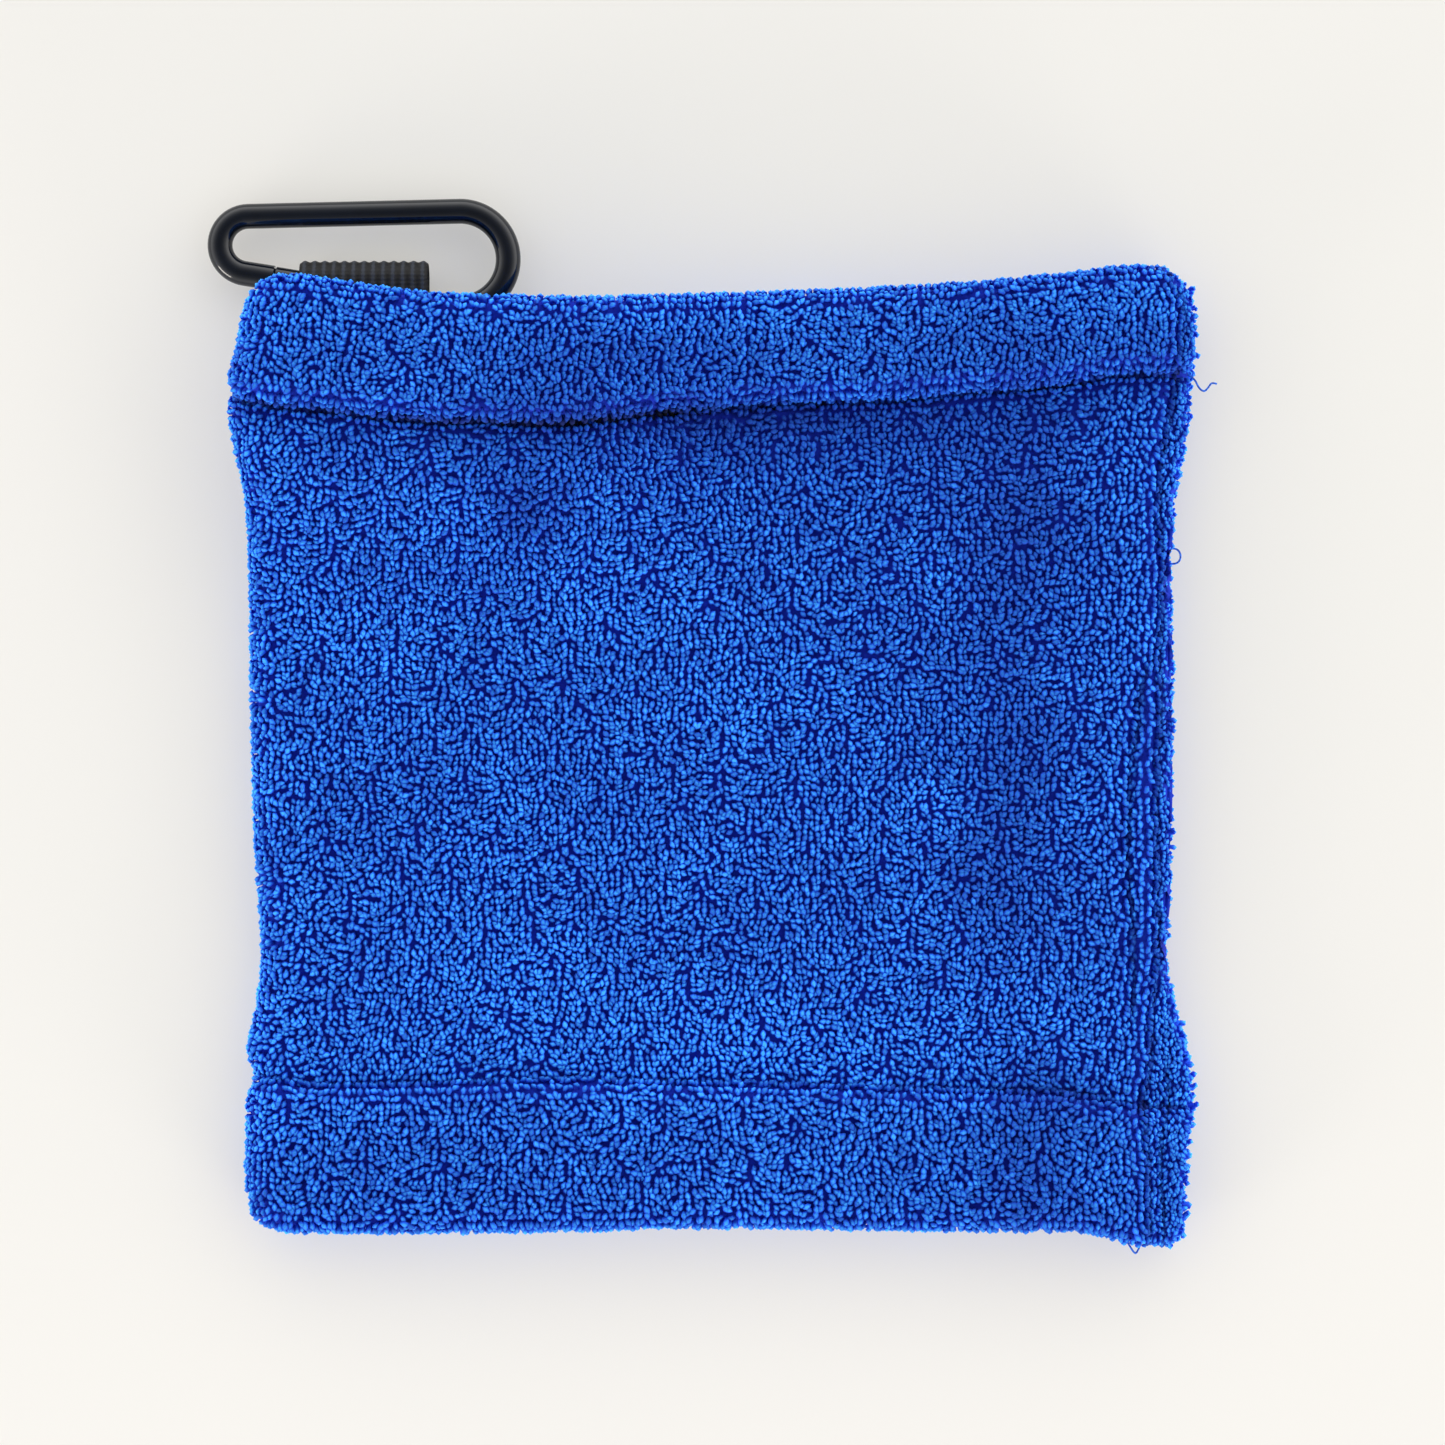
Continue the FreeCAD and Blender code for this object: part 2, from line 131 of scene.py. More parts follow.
def drift(x, y, size, seed):
    """Smooth random hills over the cloth, from about -1 to 1, roughly size millimetres wide."""
    rng = np.random.default_rng(seed)
    total = 0.0
    for angle in np.linspace(0, math.pi, 7)[:-1] + rng.uniform(0, 0.4, 6):
        k = 2 * math.pi / (2.2 * size * rng.uniform(0.75, 1.4))
        distance = x * math.cos(angle) + y * math.sin(angle)
        total = total + np.sin(k * distance + rng.uniform(0, 6.3))
    return total / 2.6


def lift(x, y):
    """How far the corner over the webbing is raised at a point."""
    across = (x - LIFT_X[1]) / (LIFT_X[0] - LIFT_X[1])
    along = (y - LIFT_Y[1]) / (LIFT_Y[0] - LIFT_Y[1])
    return LIFT * ease(across) * ease(along)


def full_half(x, y):
    """Half the thickness, before stitches pull it in."""
    above = y - TOP_HEM(x)
    below = BOTTOM_HEM(x) - y
    return (BODY_HALF + (TOP_HEM_HALF - BODY_HALF) * ease(above / 2.2)
            + (BOTTOM_HEM_HALF - BODY_HALF) * ease(below / 3.5 + 0.25))


def lines(x, y):
    """How much each stitched line pulls in the cloth at a point, from 0 to 1: top hem, bottom
    hem, side seam, and the two creases beside the seam."""
    inner_span = ease((y + 45) / 6) * ease((20 - y) / 8)
    return (ridge(y - TOP_HEM(x), 0.8), ridge(y - BOTTOM_HEM(x), 0.7), ridge(x - SEAM(y), 0.8),
            ridge(x - INNER_GROOVE(y), 0.8) * inner_span,
            ridge(x - OUTER_GROOVE(y), 0.7) * ease((-47 - y) / 4))


def half_thickness(x, y):
    """Half the thickness at a point, with every line of stitches pulled in."""
    below_hem = (TOP_HEM(x) - y) / UNDER_HEM
    half = full_half(x, y) - UNDER_HEM_SINK * (1 - ease(below_hem)) * (below_hem > 0)
    for sink, pull in zip(SINKS, lines(x, y)):
        half = half - sink * pull
    half = half - RAW_SINK * ease((x - SEAM(y)) / 2)
    return np.maximum(half, THINNEST)


def wave(x, y):
    """Slow swells of a cloth that was folded and laid down by hand."""
    return 0.30 * drift(x, y, 22, 3) + 0.15 * drift(x, y, 9, 4)


def fold_radius(x, y):
    """Radius of one layer's turned-in edge."""
    return 0.5 * (full_half(x, y) - LAYER_GAP)


START_X = (-75.0, 73.0)     # about where the fold and the seam are
SETTLE_ROUNDS = 8       # x and y each decide the other through the curves, and settle by then

# A column is (zone, place, turn, side): zone "main" runs from the fold at 0 to the seam at 1,
# "allowance" is millimetres past the seam, "raw" lies on the raw edge and "fold" turns round the
# left edge; side is +1 in front and -1 behind.
# A row is (band, share, turn, flap): turn bends round a hem's edge and flap runs back inside it.
BANDS = {"bottom": (lambda x: BOTTOM(x) + PILE_OUT + fold_radius(x, BOTTOM(x)), BOTTOM_HEM),
         "body": (BOTTOM_HEM, TOP_HEM),
         "top": (TOP_HEM, lambda x: TOP(x) - PILE_OUT - fold_radius(x, TOP(x)))}


def skin(columns, rows, raised=0.0):
    """The cloth's outer face over a grid: points in metres, outward directions, and a mask that
    is false past the raw edge."""
    points = np.zeros((len(rows), len(columns), 3))
    outward = np.zeros_like(points)
    inside = np.ones(points.shape[:2], bool)
    zone = np.array([c[0] for c in columns])
    place = np.array([c[1] for c in columns], float)
    turn = np.array([c[2] for c in columns], float)
    side = np.array([c[3] for c in columns], float)
    nx = np.where(zone == "fold", -np.sin(turn), 0.0)
    nz = np.where(zone == "fold", np.cos(turn), side)
    for i, (band, row_share, row_turn, flap) in enumerate(rows):
        low, high = BANDS[band]
        direction = -1.0 if band == "bottom" else 1.0
        left, right = START_X
        x = np.select([zone == "main", zone == "fold"],
                      [left + (right - left) * place, left], right)
        for _ in range(SETTLE_ROUNDS):
            surface_y = low(x) + (high(x) - low(x)) * row_share
            radius = fold_radius(x, surface_y)
            y = surface_y + direction * (radius * math.sin(row_turn) - flap)
            start = LEFT(y) + 1.4 * PILE_OUT + FOLD_R
            seam, raw = SEAM(y), RIGHT(y) - FRINGE_OUT
            x = np.select([zone == "main", zone == "allowance", zone == "raw"],
                          [start + (seam - start) * place, seam + place, raw],
                          start - FOLD_R * np.sin(turn))
        inside[i] = (zone != "allowance") | (x < raw)
        x = np.minimum(x, raw)
        inward = radius * (1 - math.cos(row_turn)) - raised
        middle = lift(x, surface_y) + REST + full_half(x, surface_y)
        swell = wave(x, surface_y) * (0.5 + 0.5 * nz)
        z = middle + half_thickness(x, surface_y) * nz + swell
        toward_eye = 1 - (middle - REST - BODY_HALF) / EYE
        points[i, :, 0] = (x - nx * inward) * toward_eye
        points[i, :, 1] = y * toward_eye
        points[i, :, 2] = z - nz * inward
        outward[i, :, 0] = nx * math.cos(row_turn)
        outward[i, :, 1] = direction * math.sin(row_turn)
        outward[i, :, 2] = nz * math.cos(row_turn)
    return points * MM, outward, inside


def spread(zone, count, side, first=0.0, last=1.0):
    """Evenly spaced columns of a zone, from first to last, with none on either end."""
    steps = first + (last - first) * (np.arange(count) + 0.5) / count
    return [(zone, s, 0.0, side) for s in steps]


def fold_columns(count):
    """Columns round the left edge, from the front to the back."""
    return [("fold", 0.0, math.pi * (k + 0.5) / count, 1.0) for k in range(count)]


def band_rows(band, count):
    """Evenly spaced rows of a band, with none on either end."""
    return [(band, (k + 0.5) / count, 0.0, 0.0) for k in range(count)]


def turned_rows(band, share, count, furthest):
    """Rows that bend round a hem's edge, as far as an angle in radians."""
    return [(band, share, furthest * (k + 1) / count, 0.0) for k in range(count)]


# ---- meshes and small tools ----------------------------------------------------------------


def new_piece(name, mesh):
    """A new object in the scene, at the origin."""
    piece = bpy.data.objects.new(name, mesh)
    bpy.context.scene.collection.objects.link(piece)
    return piece


def grid_mesh(name, points):
    """A mesh of quads over a grid of points, facing the way the cloth does."""
    rows, columns = points.shape[:2]
    faces = []
    for i in range(rows - 1):
        for j in range(columns - 1):
            a = i * columns + j
            faces.append((a + columns, a + columns + 1, a + 1, a))
    mesh = bpy.data.meshes.new(name)
    mesh.from_pydata([tuple(p) for p in points.reshape(-1, 3)], [], faces)
    mesh.polygons.foreach_set("use_smooth", [True] * len(mesh.polygons))
    mesh.update()
    return mesh


def plain_mesh(piece, name):
    """The piece with its modifiers applied, as a new piece; the old one is removed."""
    graph = bpy.context.evaluated_depsgraph_get()
    graph.update()
    mesh = bpy.data.meshes.new_from_object(piece.evaluated_get(graph), depsgraph=graph,
                                           preserve_all_data_layers=True)
    mesh.name = name
    old = piece.data
    bpy.data.objects.remove(piece)
    if old.users == 0:
        (bpy.data.meshes if isinstance(old, bpy.types.Mesh) else bpy.data.curves).remove(old)
    return new_piece(name, mesh)


# ---- materials -----------------------------------------------------------------------------
BAND = 0.314            # a wave pattern with this scale has one band per unit of length


def linear(hex_colour):
    """An sRGB hex colour as linear RGBA."""
    parts = [int(hex_colour[k:k + 2], 16) / 255 for k in (1, 3, 5)]
    return tuple(c / 12.92 if c <= 0.04045 else ((c + 0.055) / 1.055) ** 2.4
                 for c in parts) + (1.0,)


def add(tree, kind, links=None, values=None, stops=(), **settings):
    """A node with its links, the values of its inputs and its settings. An input goes by its
    name or its number. Stops are the places and colours of a ramp."""
    node = tree.nodes.new(kind)
    for key, value in settings.items():
        setattr(node, key, value)
    for key, value in (values or {}).items():
        node.inputs[key].default_value = value
    for key, source in (links or {}).items():
        tree.links.new(source, node.inputs[key])
    for _ in stops[2:]:
        node.color_ramp.elements.new(0.5)
    for k, (place, colour) in enumerate(stops):
        node.color_ramp.elements[k].position = place
        node.color_ramp.elements[k].color = linear(colour) if isinstance(colour, str) else colour
    return node


def new_material(name):
    """A new material and its empty tree."""
    material = bpy.data.materials.new(name)
    material.use_nodes = True
    material.node_tree.nodes.clear()
    return material, material.node_tree


def terry_pile():
    """Microfibre terry loops: soft matt yarn, with a painted highlight along the crest, where a
    loop faces outward, and painted shade down the flanks and at the root. Each loop has its own
    tone, which also carries the painted shade and light of the nap patches and the painted shade
    of creases."""
    material, tree = new_material("microfibre terry pile")
    along = add(tree, "ShaderNodeAttribute", attribute_name="along").outputs["Fac"]
    tone = add(tree, "ShaderNodeAttribute", attribute_name="tone").outputs["Fac"]
    upright = add(tree, "ShaderNodeAttribute", attribute_name="upright").outputs["Vector"]
    normal = add(tree, "ShaderNodeNewGeometry").outputs["Normal"]
    place = add(tree, "ShaderNodeTexCoord").outputs["Object"]
    fibres = add(tree, "ShaderNodeTexNoise", {"Vector": place},
                 values={"Scale": 1 / (0.25 * MM), "Detail": 1.0}).outputs["Fac"]
    # painted light and shade: loop surfaces facing outward are painted paler, the flanks darker,
    # and the root and tip are painted in shade
    facing = add(tree, "ShaderNodeVectorMath", {0: normal, 1: upright},
                 operation="DOT_PRODUCT").outputs["Value"]
    crest = add(tree, "ShaderNodeMapRange", {"Value": facing},
                values={"From Min": 0.0, "From Max": 1.0}).outputs[0]
    light_along = ((0.0, 0.1), (0.3, 0.75), (0.5, 1.0), (0.8, 0.9), (1.0, 0.6))
    painted_shade_along_loop = add(tree, "ShaderNodeValToRGB", {"Fac": along},
                  stops=[(s, (grey, grey, grey, 1.0)) for s, grey in light_along]).outputs[0]
    painted_loop_shading = add(tree, "ShaderNodeMath", {0: crest, 1: painted_shade_along_loop}, operation="MULTIPLY").outputs[0]
    mild = add(tree, "ShaderNodeMath", {0: tone}, operation="MULTIPLY_ADD",
               values={1: 0.55, 2: 0.45}).outputs[0]
    paleness = add(tree, "ShaderNodeMath", {0: painted_loop_shading, 1: mild}, operation="MULTIPLY").outputs[0]
    body = add(tree, "ShaderNodeValToRGB", {"Fac": paleness},
               stops=[(0.0, "#0838cc"), (0.3, "#0c52e0"), (0.65, "#1871e8"),
                      (1.0, "#3ca6ff")]).outputs[0]
    colour = add(tree, "ShaderNodeVectorMath", {0: body, "Scale": mild},
                 operation="SCALE").outputs[0]
    bump = add(tree, "ShaderNodeBump", {"Height": fibres},
               values={"Strength": 0.35, "Distance": 0.08 * MM}).outputs[0]
    shader = add(tree, "ShaderNodeBsdfPrincipled", {"Base Color": colour, "Normal": bump},
                 {"Roughness": 0.85, "IOR": 1.4, "Sheen Weight": 0.14, "Sheen Roughness": 0.5,
                  "Sheen Tint": linear("#3f8fff")})
    add(tree, "ShaderNodeOutputMaterial", {"Surface": shader.outputs[0]})
    return material


def knitted_base():
    """The knitted ground under the loops, painted the same shaded deep blue as the loops' roots:
    it only shows in the gaps between them."""
    material, tree = new_material("knitted terry ground")
    place = add(tree, "ShaderNodeTexCoord").outputs["Object"]
    knit = add(tree, "ShaderNodeTexVoronoi", {"Vector": place},
               values={"Scale": 1 / (1.1 * MM)}).outputs["Distance"]
    colour = add(tree, "ShaderNodeValToRGB", {"Fac": knit},
                 stops=[(0.0, "#0a3ad0"), (0.5, "#0830c0")]).outputs[0]
    bump = add(tree, "ShaderNodeBump", {"Height": knit},
               values={"Strength": 0.8, "Distance": 0.3 * MM}).outputs[0]
    shader = add(tree, "ShaderNodeBsdfPrincipled", {"Base Color": colour, "Normal": bump},
                 {"Roughness": 0.9, "IOR": 1.46})
    add(tree, "ShaderNodeOutputMaterial", {"Surface": shader.outputs[0]})
    return material


def spun_thread(name, dark, light):
    """Spun polyester sewing thread: a fine twist along it and a low sheen."""
    material, tree = new_material(name)
    place = add(tree, "ShaderNodeTexCoord").outputs["Object"]
    twist = add(tree, "ShaderNodeTexWave", {"Vector": place}, bands_direction="DIAGONAL",
                values={"Scale": 1 / (1.2 * MM), "Distortion": 1.0}).outputs["Fac"]
    colour = add(tree, "ShaderNodeValToRGB", {"Fac": twist},
                 stops=[(0.0, dark), (1.0, light)]).outputs[0]
    bump = add(tree, "ShaderNodeBump", {"Height": twist},
               values={"Strength": 0.5, "Distance": 0.06 * MM}).outputs[0]
    shader = add(tree, "ShaderNodeBsdfPrincipled", {"Base Color": colour, "Normal": bump},
                 {"Roughness": 0.65, "IOR": 1.4})
    add(tree, "ShaderNodeOutputMaterial", {"Surface": shader.outputs[0]})
    return material


def ribbed_webbing():
    """Woven black polyester: fine cross picks over the ribs, painted shade down the valleys
    between the ribs and a dull sheen on their crests, part real gloss and part painted.
    """
    material, tree = new_material("ribbed polyester webbing")
    place = add(tree, "ShaderNodeTexCoord").outputs["Object"]
    rib = add(tree, "ShaderNodeAttribute", attribute_name="rib").outputs["Fac"]
    picks = add(tree, "ShaderNodeTexWave", {"Vector": place}, bands_direction="Y",
                values={"Scale": BAND / (0.7 * MM), "Distortion": 2.5, "Detail Scale": 4.0})
    fuzz = add(tree, "ShaderNodeTexNoise", {"Vector": place},
               values={"Scale": 1 / (0.4 * MM), "Detail": 3.0}).outputs["Fac"]
    weave = add(tree, "ShaderNodeMath", {0: picks.outputs["Fac"], 1: fuzz},
                operation="MULTIPLY").outputs[0]
    # painted shade and sheen: the rib profile makes the valleys darker and the crests paler
    shade = add(tree, "ShaderNodeMath", {0: weave, 2: rib}, operation="MULTIPLY_ADD",
                values={1: 0.35}).outputs[0]
    colour = add(tree, "ShaderNodeValToRGB", {"Fac": shade},
                 stops=[(0.25, "#010102"), (0.7, "#0b0d12"), (1.0, "#2a303a")]).outputs[0]
    bump = add(tree, "ShaderNodeBump", {"Height": weave},
               values={"Strength": 0.5, "Distance": 0.1 * MM}).outputs[0]
    shader = add(tree, "ShaderNodeBsdfPrincipled", {"Base Color": colour, "Normal": bump},
                 {"Roughness": 0.6, "IOR": 1.4})
    add(tree, "ShaderNodeOutputMaterial", {"Surface": shader.outputs[0]})
    return material


def black_coating():
    """Gloss black coating on aluminium: sharp highlights over a very slight orange peel."""
    material, tree = new_material("gloss black coated aluminium")
    place = add(tree, "ShaderNodeTexCoord").outputs["Object"]
    peel = add(tree, "ShaderNodeTexNoise", {"Vector": place},
               values={"Scale": 1 / (0.8 * MM), "Detail": 2.0}).outputs["Fac"]
    rub = add(tree, "ShaderNodeTexNoise", {"Vector": place},
              values={"Scale": 1 / (4 * MM), "Detail": 4.0, "Roughness": 0.6}).outputs["Fac"]
    roughness = add(tree, "ShaderNodeMapRange", {"Value": rub},
                    values={"To Min": 0.08, "To Max": 0.14}).outputs[0]
    colour = add(tree, "ShaderNodeValToRGB", {"Fac": rub},
                 stops=[(0.3, "#0a0f17"), (0.8, "#0f151f")]).outputs[0]
    bump = add(tree, "ShaderNodeBump", {"Height": peel},
               values={"Strength": 0.12, "Distance": 0.05 * MM}).outputs[0]
    shader = add(tree, "ShaderNodeBsdfPrincipled",
                 {"Base Color": colour, "Roughness": roughness, "Normal": bump}, {"IOR": 1.44})
    add(tree, "ShaderNodeOutputMaterial", {"Surface": shader.outputs[0]})
    return material


def turned_steel(name, dark, light, roughness):
    """Drawn or turned steel: a fine grain and a satin shine."""
    material, tree = new_material(name)
    place = add(tree, "ShaderNodeTexCoord").outputs["Object"]
    grain = add(tree, "ShaderNodeTexNoise", {"Vector": place},
                values={"Scale": 1 / (0.15 * MM), "Detail": 2.0}).outputs["Fac"]
    colour = add(tree, "ShaderNodeValToRGB", {"Fac": grain},
                 stops=[(0.2, dark), (0.8, light)]).outputs[0]
    bump = add(tree, "ShaderNodeBump", {"Height": grain},
               values={"Strength": 0.2, "Distance": 0.02 * MM}).outputs[0]
    shader = add(tree, "ShaderNodeBsdfPrincipled", {"Base Color": colour, "Normal": bump},
                 {"Metallic": 1.0, "Roughness": roughness})
    add(tree, "ShaderNodeOutputMaterial", {"Surface": shader.outputs[0]})
    return material


def matt_board():
    """The pale matt light table the towel lies on: part of its brightness comes through it."""
    material, tree = new_material("pale matt board")
    place = add(tree, "ShaderNodeTexCoord").outputs["Object"]
    cloud = add(tree, "ShaderNodeTexNoise", {"Vector": place},
                values={"Scale": 3.0, "Detail": 2.0}).outputs["Fac"]
    colour = add(tree, "ShaderNodeValToRGB", {"Fac": cloud},
                 stops=[(0.3, "#bbbab6"), (0.7, "#bebcb8")]).outputs[0]
    shader = add(tree, "ShaderNodeBsdfPrincipled",
                 {"Base Color": colour, "Emission Color": colour},
                 {"Roughness": 0.8, "Emission Strength": 0.72})
    add(tree, "ShaderNodeOutputMaterial", {"Surface": shader.outputs[0]})
    return material


PILE = terry_pile()
GROUND = knitted_base()
# the hem and seam thread is painted dark navy, in painted shade like the bottoms of the creases it
# lies in
BLUE_THREAD = spun_thread("navy spun polyester thread", "#051550", "#0b2f90")
BRIGHT_THREAD = spun_thread("blue spun polyester thread", "#0e3fae", "#2a7df0")
BLACK_THREAD = spun_thread("black spun polyester thread", "#0a0a0c", "#1d1e22")
WEBBING = ribbed_webbing()
COATING = black_coating()
PIN_STEEL = turned_steel("blackened steel pin", "#1b1c1e", "#2c2d30", 0.38)
SPRING_STEEL = turned_steel("bright drawn spring wire", "#a8a9ab", "#c6c7c9", 0.3)

# ---- loops of yarn -------------------------------------------------------------------------


def socket(tree, name, kind, default=None):
    """A named input of the tree, by its identifier."""
    item = tree.interface.new_socket(name, in_out="INPUT", socket_type=kind)
    if default is not None:
        item.default_value = default
    return item.identifier


def yarn_tree():
    """A loop of yarn on every point: it rises along the point's "upright", leans over towards
    its "nap" angle and comes down again. Points also carry "size", across and upwards, and
    "tone"."""
    tree = bpy.data.node_groups.new("loops of yarn", "GeometryNodeTree")
    inputs = {
        "points": socket(tree, "Points", "NodeSocketGeometry"),
        "height": socket(tree, "Height", "NodeSocketFloat", 1.3 * MM),
        "reach": socket(tree, "Reach", "NodeSocketFloat", 0.9 * MM),
        "fall": socket(tree, "Fall", "NodeSocketFloat", 0.7),
        "yarn": socket(tree, "Yarn", "NodeSocketFloat", 0.40 * MM),
        "sides": socket(tree, "Sides", "NodeSocketInt", 4),
        "steps": socket(tree, "Steps", "NodeSocketInt", 3),
        "finish": socket(tree, "Finish", "NodeSocketMaterial"),
    }
    tree.interface.new_socket("Loops", in_out="OUTPUT", socket_type="NodeSocketGeometry")
    given = add(tree, "NodeGroupInput").outputs

    spans = add(tree, "ShaderNodeCombineXYZ", {"X": given["Reach"], "Z": given["Height"]})
    crest = add(tree, "ShaderNodeVectorMath", {0: spans.outputs[0]}, {1: (0.25, 1.0, 1.35)},
                operation="MULTIPLY").outputs[0]
    foot = add(tree, "ShaderNodeMath", {0: given["Height"], 1: given["Fall"]},
               operation="MULTIPLY").outputs[0]
    end = add(tree, "ShaderNodeCombineXYZ", {"X": given["Reach"], "Z": foot}).outputs[0]
    arch = add(tree, "GeometryNodeCurveQuadraticBezier",
               {"Middle": crest, "End": end, "Resolution": given["Steps"]},
               values={"Start": (0, 0, 0)}).outputs[0]
    factor = add(tree, "GeometryNodeSplineParameter").outputs["Factor"]
    marked = add(tree, "GeometryNodeStoreNamedAttribute", {"Geometry": arch, "Value": factor},
                 data_type="FLOAT", domain="POINT", values={"Name": "along"}).outputs[0]
    profile = add(tree, "GeometryNodeCurvePrimitiveCircle",
                  {"Radius": given["Yarn"], "Resolution": given["Sides"]}).outputs[0]
    fullness = add(tree, "ShaderNodeFloatCurve", {"Value": factor})
    thickness = fullness.mapping.curves[0].points
    thickness[0].location = (0.0, 0.60)
    thickness[1].location = (1.0, 0.60)
    thickness.new(0.4, 0.95)
    thickness.new(0.75, 1.0)
    loop = add(tree, "GeometryNodeCurveToMesh",
               {"Curve": marked, "Profile Curve": profile, "Scale": fullness.outputs[0]},
               values={"Fill Caps": True}).outputs[0]

    kinds = (("upright", "FLOAT_VECTOR"), ("size", "FLOAT_VECTOR"), ("nap", "FLOAT"))
    upright, size, nap = (add(tree, "GeometryNodeInputNamedAttribute", values={"Name": name},
                              data_type=kind).outputs["Attribute"] for name, kind in kinds)
    facing = add(tree, "FunctionNodeAlignRotationToVector", {"Vector": upright}, axis="Z",
                 pivot_axis="AUTO").outputs[0]
    turn = add(tree, "FunctionNodeAxisAngleToRotation", {"Angle": nap},
               values={"Axis": (0, 0, 1)}).outputs[0]
    turned = add(tree, "FunctionNodeRotateRotation", {"Rotation": facing, "Rotate By": turn},
                 rotation_space="LOCAL").outputs[0]
    loops = add(tree, "GeometryNodeInstanceOnPoints",
                {"Points": given["Points"], "Instance": loop, "Rotation": turned,
                 "Scale": size}).outputs[0]
    real = add(tree, "GeometryNodeRealizeInstances", {"Geometry": loops}).outputs[0]
    soft = add(tree, "GeometryNodeSetShadeSmooth", {"Geometry": real}).outputs[0]
    done = add(tree, "GeometryNodeSetMaterial",
               {"Geometry": soft, "Material": given["Finish"]}).outputs[0]
    add(tree, "NodeGroupOutput", {0: done})
    return tree, inputs


YARN_TREE, YARN_INPUTS = yarn_tree()


def yarn_piece(name, points, upright, nap, size, tone, finish, rise=1.0, **sizes):
    """A piece made of one loop of yarn for each point; rise stretches the loops upwards."""
    count = len(points)
    mesh = bpy.data.meshes.new(name + "_points")
    mesh.from_pydata([tuple(p) for p in points], [], [])
    size = np.broadcast_to(size, count)
    scale = np.stack([size, size, size * rise], 1)
    for key, values in (("nap", np.broadcast_to(nap, count)),
                        ("tone", np.broadcast_to(tone, count)),
                        ("size", scale), ("upright", upright)):
        values = np.asarray(values, np.float32)
        kind, field = ("FLOAT", "value") if values.ndim == 1 else ("FLOAT_VECTOR", "vector")
        mesh.attributes.new(key, kind, "POINT").data.foreach_set(field, values.ravel())
    base = new_piece(name + "_points", mesh)
    modifier = base.modifiers.new("loops", "NODES")
    modifier.node_group = YARN_TREE
    modifier[YARN_INPUTS["finish"]] = finish
    for key, value in sizes.items():
        modifier[YARN_INPUTS[key]] = value
    return plain_mesh(base, name)


# ---- terry pile ----------------------------------------------------------------------------
PANEL_WIDTH = 141               # millimetres from the fold to the side seam
BODY_HEIGHT = 108               # and from one hem to the other
LOOP_PITCH = (0.97, 0.88)       # between loops in front, across and along the wales
BACK_PITCH = 1.5                # behind, where they are pressed flat
FRONT_PARTS, BACK_PARTS = 4, 3
FRONT_COLUMNS = FRONT_PARTS * round(PANEL_WIDTH / LOOP_PITCH[0] / FRONT_PARTS)
BACK_COLUMNS = BACK_PARTS * round(PANEL_WIDTH / BACK_PITCH / BACK_PARTS)
BODY_ROWS = round(BODY_HEIGHT / LOOP_PITCH[1])
STEP_ROWS = (0.01, 0.032, 0.054, 0.076, 0.1)    # close rows up the step of the top hem
TOP_ROWS, TOP_FROM = 20, 0.13   # and the rows of the rest of it
BOTTOM_ROWS = 23
EDGE_TURNS = 6                  # rows round a hem's edge
PILE_TURN = 2.1                 # how far round it they go in radians, till the pile is hidden
CURL = 1.5                      # how far drifts of pile turn aside, in radians
NAP_SPREAD = 0.75               # how far each loop turns on its own, in radians
SIZE_SPREAD = 0.16
TONE_SPREAD = 0.17
CREASE_SHADE = 1.2              # how much darker the pile is along the bottom of a crease

# painted shade and painted light where the pile lies over and looks darker or lighter, with
# painted shade along and just under the top hem's edge: x, y, half widths, and how much
NAP_SHADE_PATCHES = [
    (8, 51, 54, 6, -0.34), (2, 54.5, 40, 2.5, -0.45), (0, 62, 60, 4, -0.16),
    (70, 64, 6, 6, -0.3), (-54, 32, 9, 8, -0.15), (-30, 40, 6, 7, -0.34), (42, -16, 7, 7, -0.2),
    (58, -56, 5, 5, -0.2), (36, 12, 7, 9, -0.15), (10, 40, 40, 8, -0.14), (48, 6, 8, 48, -0.34),
    (50, -64, 9, 14, -0.40), (0, -52, 70, 7, 0.16), (8, 73, 70, 4, 0.22), (68, 40, 5, 60, 0.1),
    (-30, 55, 16, 5, -0.12), (-8, 64, 22, 6, -0.18), (48, 68, 22, 7, -0.24),
    (50, 36, 16, 12, -0.2), (30, 18, 9, 16, -0.1), (-72, 0, 7, 90, 0.12), (0, -42, 60, 9, 0.16),
    (-30, -34, 10, 12, 0.12), (-54, 18, 10, 8, 0.2), (-46, 40, 9, 5, 0.12), (-14, 24, 9, 7, 0.10),
    (10, 12, 12, 9, 0.12), (34, -8, 6, 6, 0.2), (-52, -2, 8, 6, -0.14), (-34, -56, 14, 4, -0.14),
    (26, -48, 8, 5, 0.1), (-14, 72, 12, 4, 0.14), (12, -28, 12, 7, -0.08),
    (-44, -66, 20, 8, -0.06)]


def nap_tone_and_shade(x, y):
    """How light the pile looks at a point, about 1: a slow random tone, with the patches' painted
    shade and painted light.
    """
    tone = 0.99 + 0.05 * drift(x, y, 8, 5) + 0.04 * drift(x, y, 16, 6)
    for px, py, rx, ry, gain in NAP_SHADE_PATCHES:
        tone = tone + gain * np.exp(-((x - px) / rx) ** 2 - ((y - py) / ry) ** 2)
    return tone


